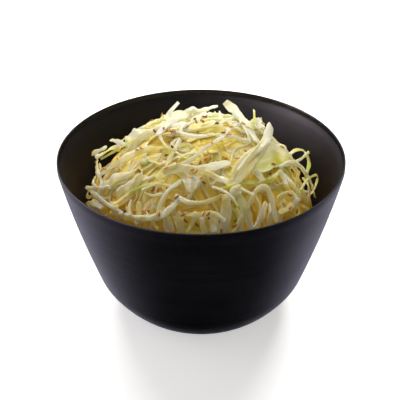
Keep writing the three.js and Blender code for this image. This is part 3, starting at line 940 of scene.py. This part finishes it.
def lay_ruled_leaf(pile, low, high, leaf, green):
    """A leaf held between the courses of its two edges, with ripples that run across it."""
    count = max(len(low), len(high))
    low, high = (np.stack([np.interp(np.linspace(0, 1, count), np.linspace(0, 1, len(edge)),
                                     edge[:, k]) for k in range(3)], 1) for edge in (low, high))
    across = np.linspace(0, 1, RULED_ACROSS)
    share = np.linspace(-1, 1, count)
    middle = low[:, None] * (1 - across)[:, None] + high[:, None] * across[:, None]
    out = outward(middle)
    ripple = (np.sin(share[:, None] * draw.uniform(4, 7) + across * draw.uniform(-3, 3)
                     + draw.uniform(0, 6)) * 0.7
              + np.sin(share[:, None] * 11 + across * 5 + draw.uniform(0, 6)) * 0.25
              + 4 * across * (1 - across) * draw.uniform(0.2, 1.4))
    middle = middle + out * ripple[..., None]
    place, lift = to_map(middle)
    middle = from_map(place, np.maximum(lift, relief[cells(place)] * 0.85))
    stamp(place, to_map(middle)[1] + LEAF_THICK / 2)
    normal = np.cross(np.gradient(middle, axis=0), np.gradient(middle, axis=1))
    normal /= np.maximum(np.linalg.norm(normal, axis=-1), 1e-9)[..., None]
    normal *= np.sign((normal * out).sum(-1).mean())
    corners = keep_inside(np.stack([middle + normal * LEAF_THICK / 2,
                                    middle - normal * LEAF_THICK / 2]), 0.2)
    edge = np.maximum(np.abs(2 * across - 1)[None], np.abs(share)[:, None]) ** 8
    blush = green * np.clip(1.2 - across * 1.5 + 0 * share[:, None], 0, 1)
    tone = flesh(np.clip(leaf * (1.1 - across * 1.0), 0, 1), blush, *to_map(middle), edge)
    walked = share[:, None] * LEAF_STEP * count / 2 + 0 * across
    grain = np.stack([walked, across * 9 + 0 * walked, np.full_like(walked, draw.random() * 999)],
                     -1)
    faces = sheet_faces(*lift.shape)
    if np.cross(middle[1, 0] - middle[0, 0], middle[0, 1] - middle[0, 0]) @ normal[0, 0] < 0:
        faces = faces[:, ::-1]
    pile.add(corners, faces, np.stack([grain, grain]), np.stack([tone, tone]))


top_leaves = Pile()
for leaf, green, low, high in TOP_LEAVES:
    lay_ruled_leaf(top_leaves, spline(in_view(low), RULED_STEP), spline(in_view(high), RULED_STEP),
                   leaf, green)
top_leaves.build("top_leaves", leaf_flesh)

# ---------------------------------------------------------------------------------------------
# Top shreds. The shreds and ribbons that lie uppermost towards the seat, the larger ones first and
# then the fine ones, the long loop and its tail. Each follows a course of its own in the view.
# ---------------------------------------------------------------------------------------------
TOP_SHREDS = [  # width, leafiness, greenness, course
    (3.6, 0.3, 0.0, [162, 207, -2, 165, 216, 1, 168, 231, 0]),
    (2.4, 0.1, 0.0, [173, 203, -2, 174, 211, 1, 176, 220, -1]),
    (1.8, 0.2, 0.0, [199, 217, -1, 203, 225, 1, 209, 232, 0]),
    (3.4, 0.3, 0.0, [223, 212, -2, 220, 222, 1, 217, 233, 0]),
    (2.6, 0.2, 0.0, [206, 214, -2, 212, 222, 1, 216, 233, 0]),
    (2.4, 0.5, 0.0, [196, 212, -2, 193, 222, 1, 187, 232, 0]),
    (2.0, 0.6, 0.0, [144, 209, -2, 150, 219, 1, 158, 229, 0]),
    (3.0, 0.7, 0.0, [139, 202, -2, 139, 214, 1, 137, 226, 0]),
    (1.6, 0.3, 0.0, [127, 207, -2, 130, 215, 1, 138, 224, 0]),
    (2.6, 0.7, 0.0, [112, 202, -2, 118, 210, 1, 121, 219, 0]),
    (2.4, 0.2, 0.0, [236, 208, -2, 240, 218, 1, 241, 231, 0]),
    (3.0, 0.3, 0.0, [266, 203, -2, 262, 215, 1, 256, 229, 0]),
    (2.4, 0.1, 0.0, [271, 204, -2, 270, 214, 1, 268, 226, 0]),
    (2.8, 0.2, 0.0, [284, 200, -2, 282, 210, 1, 279, 222, 0]),
    (5.0, 0.0, 0.0, [225, 102, 7, 237, 113, 6, 248, 128, 3, 257, 142, -3]),
    (2.4, 0.3, 0.1, [178, 103, 7, 171, 111, 5, 163, 123, 2, 154, 131, -3]),
    (2.8, 0.2, 0.0, [216, 106, 7, 203, 110, 6, 193, 114, 4, 182, 127, -3]),
    (5.3, 0.15, 0.0,
     [271, 126, 5, 266, 140, 6, 256, 155, 6, 245, 172, 5, 233, 182, 3, 219, 178, -3]),
    (4.8, 0.2, 0.0, [259, 147, 4, 248, 157, 4, 238, 167, 3, 232, 177, -3]),
    (1.7, 0.2, 0.0, [309, 152, 7, 301, 159, 5, 290, 164, 3, 279, 166, -3]),
    (1.9, 0.2, 0.0, [280, 167, -2, 291, 162, 4, 302, 168, 5, 310, 181, 4, 315, 197, -3]),
    # Painted shade, in part: this loop's dark green stands partly for the shade it lies in at the far
    # right.
    (1.9, 0.8, 0.7, [290, 154, -3, 296, 150, 1, 304, 151, 2, 309, 162, 1, 307, 173, -3]),
    (2.1, 0.1, 0.0, [97, 160, -2, 97, 170, 2, 102, 183, 2, 100, 197, -3]),
    (2.4, 0.1, 0.0, [128, 146, -3, 119, 142, 2, 111, 140, 4]),
    (2.6, 0.1, 0.1, [92, 154, 2, 98, 151, 1, 106, 147, -3]),
    (2.2, 0.1, 0.0, [86, 187, 2, 95, 194, 2, 107, 204, 2, 123, 214, -3]),
    (3.4, 0.3, 0.1, [110, 214, -2, 137, 218, 2, 160, 216, 3, 172, 207, 3, 181, 198, -3]),
    (4.0, 0.4, 0.1, [101, 174, -2, 120, 161, 2, 143, 150, 3, 158, 150, 2, 174, 152, -3]),
    (4.4, 0.2, 0.0, [157, 179, -2, 166, 171, 3, 181, 168, 4, 201, 169, 4, 229, 163, -2]),
    (2.4, 0.3, 0.0, [176, 195, -2, 185, 201, 3, 197, 203, 4, 210, 201, 3, 223, 195, -3]),
    (2.1, 0.2, 0.0, [181, 181, 1, 168, 191, 3, 161, 203, 2, 157, 215, -3]),
    (2.4, 0.3, 0.0,
     [233, 232, -2, 247, 208, 4, 257, 190, 6, 266, 187, 6, 272, 201, 3, 276, 222, -3]),
    (4.4, 0.4, 0.3, [232, 190, -2, 240, 198, 3, 246, 212, 3, 251, 230, -3]),
    (2.2, 0.3, 0.1, [280, 171, -2, 291, 183, 3, 299, 196, 3, 296, 213, -3]),
    (3.8, 0.2, 0.0, [186, 124, -2, 160, 128, 2, 140, 139, 2, 126, 155, -3]),
    (2.4, 0.2, 0.0, [180, 140, 2, 173, 153, 2, 166, 166, -3]),
    (5.0, 0.4, 0.0, [226, 194, -2, 226, 213, 2, 223, 232, -2]),
    (4.8, 0.2, 0.0, [197, 111, 3, 181, 116, 3, 168, 124, 1, 158, 135, -3]),
    (4.8, 0.6, 0.0, [178, 212, -3, 179, 222, 2, 181, 232, -2]),
    (2.9, 0.4, 0.0, [184, 214, -3, 200, 215, 3, 213, 214, 3, 225, 221, -3]),
    (3.8, 0.3, 0.0, [277, 200, -3, 287, 194, 3, 299, 198, -2]),
    (2.9, 0.3, 0.0, [279, 213, -3, 289, 208, 3, 298, 200, -2]),
    (2.2, 0.9, 0.8, [260, 179, -3, 270, 180, 3, 279, 172, -2]),
    (1.9, 0.9, 0.8, [113, 205, -3, 136, 190, 2, 157, 183, -3]),
    (1.9, 0.9, 0.8, [218, 190, -3, 236, 185, 3, 257, 182, -3]),
    (4.4, 0.2, 0.0, [249, 127, -2, 257, 120, 5, 262, 128, 1]),
]

FINE_SHREDS = [  # width, leafiness, greenness, course
    # Painted shade, in part: this shred's dark green stands partly for the shade at the back of the
    # heap where it lies.
    (1.7, 0.9, 0.9, [143, 128, 0, 153, 124, 1, 164, 121, 1, 170, 120, -2]),
    (1.4, 0.9, 0.9, [255, 127, 1, 254.5, 119, 3, 254, 110, 5]),
    (1.4, 0.8, 0.6, [101, 159, 0, 120.7, 147.5, 2, 138, 137.5, 2, 148, 131, -1]),
    # Painted shade, in part: this loop's green stands partly for the shade it lies in at the far
    # right.
    (1.3, 0.8, 0.6,
     [300.8, 190, 0, 307, 180, 3, 315.5, 175, 4, 317.5, 178, 4, 314.5, 188, 2, 311, 194, 0]),
    (3.8, 0.2, 0.0, [254.5, 170.6, -1, 259, 175, 2, 263, 181, 1]),
    (1.4, 0.1, 0.0, [86.5, 187, 2, 97, 188, 1, 108, 186, -2]),
    (1.3, 0.2, 0.0, [159.5, 135.5, 3, 163, 142, 3, 169, 149.5, 1]),
    (2.2, 0.1, 0.0, [220, 112, 5, 221, 120, 1]),
    (2.6, 0.2, 0.0, [278.6, 170.6, 2, 283, 177, 3, 287, 184.5, 1]),
    (1.4, 0.2, 0.0, [240.7, 188, 2, 247, 191.5, 2, 253.6, 194.6, 0]),
    (4.3, 0.2, 0.0, [237, 185, 2, 234, 192, 3, 231, 199.5, 1]),
    (2.1, 0.4, 0.0, [168.8, 216.8, -1, 171, 224, 1, 173.4, 231, 0]),
    (2.6, 0.4, 0.0, [202, 218, -1, 203, 226, 1, 205, 233, 0]),
    (3.8, 0.5, 0.0, [212, 219, -1, 213, 226, 1, 214, 232, 0]),
    (1.2, 0.3, 0.0, [144.7, 192.8, 0, 152, 195.6, 2, 163, 193.7, 0]),
    (1.2, 0.3, 0.0, [131, 200, 0, 129.5, 207.5, 2, 131, 214, 0]),
    (1.2, 0.9, 0.8, [160, 149, 3, 168, 147.5, 3]),
    (1.2, 0.9, 0.8, [180, 147, 2, 187, 145.5, 2]),
    (2.9, 0.3, 0.0, [205, 171, 0, 214, 176, 2, 224, 181, 1]),
    (2.9, 0.5, 0.3, [297, 191, 0, 302, 191.5, 2, 306.5, 193, 1]),
    (3.8, 0.2, 0.0, [88, 205, -1, 95, 203, 1, 102, 208, -2]),
    (1.4, 0.2, 0.0, [95, 177, -1, 93, 183, 1, 97.5, 187.5, -1]),
    (2.1, 0.1, 0.0, [96, 157, 1, 100, 155.5, 2, 104, 153, 1]),
    (2.9, 0.5, 0.1, [103, 154, 1, 111, 149, 2, 120, 146, 1]),
    (1.5, 0.2, 0.0, [268, 140, 6, 260, 149, 7, 251, 158, 6, 243, 168, 4]),
    (1.2, 0.3, 0.0, [262, 141, 6, 253, 151, 7, 244, 162, 6, 238, 170, 4]),
    (1.2, 0.9, 0.0, [207, 150, 1, 218, 146, 3, 230, 141, 2, 240, 138, 0]),
    (1.0, 0.9, 0.0, [176, 152, 0, 186, 158, 2, 198, 160, 2, 210, 156, 0]),
    (1.2, 0.2, 0.0, [142, 190, 0, 150, 186, 2, 160, 184, 2, 172, 186, 0]),
    (1.0, 0.9, 0.0, [196, 146, 0, 201, 152, 2, 203, 160, 1]),
    (1.4, 0.3, 0.0, [256, 196, 0, 260, 206, 2, 259, 218, 1, 254, 228, -1]),
    (1.2, 0.2, 0.0, [212, 187, 0, 222, 190, 2, 231, 196, 2, 238, 206, 0]),
    (1.2, 0.1, 0.0, [186, 134, 0, 200, 129, 3, 216, 124, 3, 232, 118, 1]),
    (1.5, 0.1, 0.0, [168, 136, 0, 181, 131, 2, 197, 129, 2, 210, 122, 1]),
    (1.5, 0.1, 0.0, [232, 112, 3, 240, 121, 4, 246, 131, 2, 250, 141, 0]),
    (1.3, 0.3, 0.0, [150, 140, 0, 160, 133, 2, 172, 131, 2, 184, 134, 0]),
    (1.9, 0.0, 0.0,
     [213, 134, 1, 203, 136, 3, 190, 135.5, 4, 182, 133, 5, 180.5, 130, 5, 183, 126.5, 5,
      192, 122.5, 5, 206, 119.5, 5, 219, 119, 5, 234, 122, 3]),
    (2.0, 0.0, 0.0, [207, 134, 1, 220, 135, 4, 234, 137.5, 3, 251, 142, 0]),
    (2.2, 0.0, 0.0,
     [243, 121, 6, 228, 130, 6, 221, 138, 6, 212, 144, 6, 202, 151, 5, 192, 159, 4, 180, 165, 2,
      163, 172, -3]),
]

top_shreds = Pile()
for number, (wide, leaf, green, course) in enumerate(TOP_SHREDS + FINE_SHREDS):
    twist = MOST_TWIST if number % 2 else -MOST_TWIST
    lay_shred(top_shreds, spline(in_view(course), SHRED_STEP), wide, 1.2 - 0.6 * leaf, leaf,
              green, roll=twist, lean=1.0, tapers=BLUNT_ENDS, seen=True)
top_shreds.build("top_shreds", shred_flesh)

# ---------------------------------------------------------------------------------------------
# Sesame. Toasted seeds, each a flat drop, that fell on the heap last. Those towards the seat lie
# where pixels of the view put them, and others anywhere on the rest of the heap.
# ---------------------------------------------------------------------------------------------
SEED_LONG = 3.1
SEED_WIDE = 1.7
SEED_THICK = 0.9
SEED_ROWS = 7
OTHER_SEEDS = 110
SEED_NARROWS = 0.35
SEED_BLUNT = 0.03
SEED_SINKS = 0.42
SEED_START = 1.3  # where a seed starts to fall, in sizes of the heap
TOASTED = ((0.57, 0.26, 0.020), (0.39, 0.15, 0.010), (0.20, 0.065, 0.007), (0.66, 0.38, 0.07))
TOASTED_SHARE = (0.48, 0.32, 0.07, 0.13)
# Black for the seeds that stand in for the shade of dark gaps in the heap.
DARK_GAP_BLACK = (0.006, 0.005, 0.005)
SEED_SPECK = (0.26, 0.09, 0.02, 1)
SPECK_SCALE = 1.6

# Painted shade: three black seeds put where the view shows dark gaps in the heap.
SEEDS_AT_DARK_GAPS = [(194.6, 119.3), (216.5, 123.6), (228, 125)]
SEEDS_IN_VIEW = [
    (196, 122), (202, 121), (204, 117), (155, 131), (164, 129), (166, 131), (169, 130), (172, 132),
    (174, 131), (174, 137), (169, 143), (172, 147), (182, 141), (185, 140), (198, 132), (200, 140),
    (137, 150), (141, 148), (160, 151), (167, 155), (162, 162), (118, 159), (102, 165), (105, 169),
    (119, 169), (142, 164), (137, 171), (140, 172), (166, 168), (191, 164), (200, 163), (204, 157),
    (192, 170), (196, 171), (190, 177), (201, 178), (204, 183), (149, 183), (147, 191), (153, 189),
    (158, 190), (161, 189), (115, 197), (177, 197), (124, 212), (136, 211), (145, 211), (148, 210),
    (195, 200), (159, 214), (183, 215), (186, 221), (197, 225), (203, 214), (206, 117), (238, 122),
    (231, 127), (243, 124), (225, 130), (223, 133), (230, 134), (247, 136), (205, 138), (212, 143),
    (263, 124), (246, 152), (208, 153), (206, 156), (205, 159), (210, 159), (207, 161), (225, 158),
    (282, 147), (273, 164), (274, 168), (270, 174), (278, 183), (290, 195), (284, 205), (290, 208),
    (297, 211), (311, 195), (220, 222), (236, 221), (235, 226), (221, 231), (209, 219), (208, 214),
]

s = np.linspace(0, 1, SEED_ROWS)
girth = np.sqrt(np.clip(1 - (2 * s - 1) ** 2, SEED_BLUNT, 1)) * (1 - SEED_NARROWS * s)
turn = np.arange(RING) * FULL_TURN / RING
seed_corners = np.stack([
    np.repeat((s - 0.5)[:, None] * SEED_LONG, RING, 1),
    girth[:, None] * np.cos(turn) * SEED_WIDE / 2,
    girth[:, None] * np.sin(turn) * SEED_THICK / 2], -1).reshape(-1, 3)
seed_faces = strip_faces(SEED_ROWS)

bpy.context.view_layer.update()
depsgraph = bpy.context.evaluated_depsgraph_get()
seeds = Pile()


def drop_seed(start, way, colour):
    """Lays a seed flat where a line first meets the cabbage."""
    met, place, normal, _, carrier, _ = bpy.context.scene.ray_cast(
        depsgraph, Vector(start * MM), Vector(way))
    if not met or carrier == bowl:
        return
    up = np.array(normal)
    up = up * np.sign(-up @ way) * 0.6 + outward(np.array(place) / MM) * 0.4
    up /= np.linalg.norm(up)
    along = np.cross(up, draw.normal(size=3))
    along /= np.linalg.norm(along)
    size = draw.uniform(0.88, 1.1)
    corners = seed_corners * size @ np.stack([along, np.cross(up, along), up])
    corners = corners + np.array(place) / MM + up * SEED_THICK * SEED_SINKS
    colour = np.array(colour) * draw.uniform(0.8, 1.15)
    tone = np.append(colour, 0.0) + np.zeros((len(corners), 1))
    seeds.add(corners, seed_faces, seed_corners + draw.random() * 99, tone)


def toasted():
    return TOASTED[draw.choice(len(TOASTED), p=TOASTED_SHARE)]


for pixels, colour in ((SEEDS_IN_VIEW, None), (SEEDS_AT_DARK_GAPS, DARK_GAP_BLACK)):
    for target in seen_at(*np.array(pixels, float).T):
        way = (target - EYE) / np.linalg.norm(target - EYE)
        drop_seed(EYE, way, colour or toasted())
for number in range(OTHER_SEEDS):
    polar, azimuth = anywhere()
    way = np.array([math.sin(polar) * math.cos(azimuth), math.sin(polar) * math.sin(azimuth),
                    math.cos(polar)])
    if way @ TO_EYE < FACING_SEAT:
        start = HEAP_CENTRE + way * HEAP_SIZE * SEED_START
        drop_seed(start, -outward(start), toasted())

toast, nodes, shader = new_material("toasted_sesame", {
    "IOR": 1.45, "Specular IOR Level": 0.3})
speckle = nodes.attribute("grain", output=1).noise(Scale=SPECK_SCALE, Detail=3)
plug((speckle.between(0.35, 0.7) * 0.3).blend(nodes.attribute("tone"), SEED_SPECK),
     shader, "Base Color")
plug((0.32 + speckle * 0.2).clamped(), shader, "Roughness")
seeds.build("sesame_seeds", toast)

# ---------------------------------------------------------------------------------------------
# Table, light and camera. A pale plain table that stays out of the bowl's reflections, soft lights
# behind to the left and right and overhead, weaker ones in front and on the left, one seen only
# as a sheen, a dim surround, and the view from a seat in front of the bowl.
# ---------------------------------------------------------------------------------------------
TABLE_SIDE = 6
LIT_POINT = Vector((0, 0, 0.08))
LIGHTS = (  # name, place, size, power, colour, rays that don't see it
    ("key_left", (-0.62, 0.95, 1.08), (0.4, 0.4), 6.6, (1.0, 1.0, 0.98), ()),
    ("overhead", (0.0, 0.80, 1.08), (1.4, 1.0), 28.0, (1.0, 1.0, 0.98), ("glossy",)),
    ("fill", (0.35, -0.9, 0.95), (1.3, 0.8), 1.75, (1.0, 0.87, 0.60), ("glossy",)),
    ("left", (-1.1, 0.05, 0.45), (0.5, 0.9), 1.3, (0.97, 0.94, 1.0), ()),
    ("key_right", (0.62, 0.95, 1.08), (0.4, 0.4), 11.5, (1.0, 1.0, 0.98), ()),
    ("sheen", (-0.85, 0.0, 0.68), (0.7, 0.7), 30.0, (1.0, 0.88, 0.82),
     ("diffuse", "transmission")),
)
SURROUND_STRENGTH = 0.32
ABOVE_RIGHT = (0.42, 0.42, 0.43, 1)
ABOVE_LEFT = (2.2, 2.1, 2.2, 1)
BELOW_FRONT = (0.02, 0.02, 0.02, 1)
BELOW_BEHIND = (5.2, 5.0, 6.2, 1)
SENSOR = 36

bpy.ops.mesh.primitive_plane_add(size=TABLE_SIDE, location=(0, 0, 0))
table = bpy.context.object
table.name = "table"
table.visible_glossy = False
pale, nodes, shader = new_material("pale_table", {
    "Base Color": (0.80, 0.80, 0.80, 1), "Roughness": 0.8, "Specular IOR Level": 0.1,
    "Emission Color": (1, 1, 1, 1), "Emission Strength": 0.50})
table.data.materials.append(pale)

for name, place, size, power, colour, unseen in LIGHTS:
    light = bpy.data.lights.new(name, "AREA")
    light.shape = "RECTANGLE"
    light.size, light.size_y = size
    light.energy = power
    light.color = colour
    lamp = add_object(name, light)
    lamp.location = place
    lamp.rotation_euler = (LIT_POINT - Vector(place)).to_track_quat("-Z", "Y").to_euler()
    for rays in unseen:
        setattr(lamp, "visible_" + rays, False)

world = bpy.data.worlds.new("surround")
world.use_nodes = True
way = Wire(world.node_tree).make("ShaderNodeTexCoord")
height = way.make("ShaderNodeSeparateXYZ", None, {"Vector": way}, output=2)
behind = height.sibling(1).between(-0.25, 0.60)
below = (behind * height.between(-0.90, -0.72)).blend(BELOW_FRONT, BELOW_BEHIND)
above = (height.sibling(0) * -1).between(-0.1, 0.9).blend(ABOVE_RIGHT, ABOVE_LEFT)
sky = height.between(-0.05, 0.05).blend(below, above)
background = world.node_tree.nodes["Background"]
background.inputs["Strength"].default_value = SURROUND_STRENGTH
plug(sky, background, "Color")
bpy.context.scene.world = world
bpy.context.scene.view_settings.view_transform = "Standard"

camera_data = bpy.data.cameras.new("seat")
camera_data.sensor_width = SENSOR
camera_data.lens = SENSOR * PICTURE_SCALE * EYE_DISTANCE / PICTURE_SIDE
camera = add_object("seat", camera_data)
camera.location = EYE * MM
camera.rotation_euler = (math.pi / 2 - EYE_TILT, 0, 0)
bpy.context.scene.camera = camera
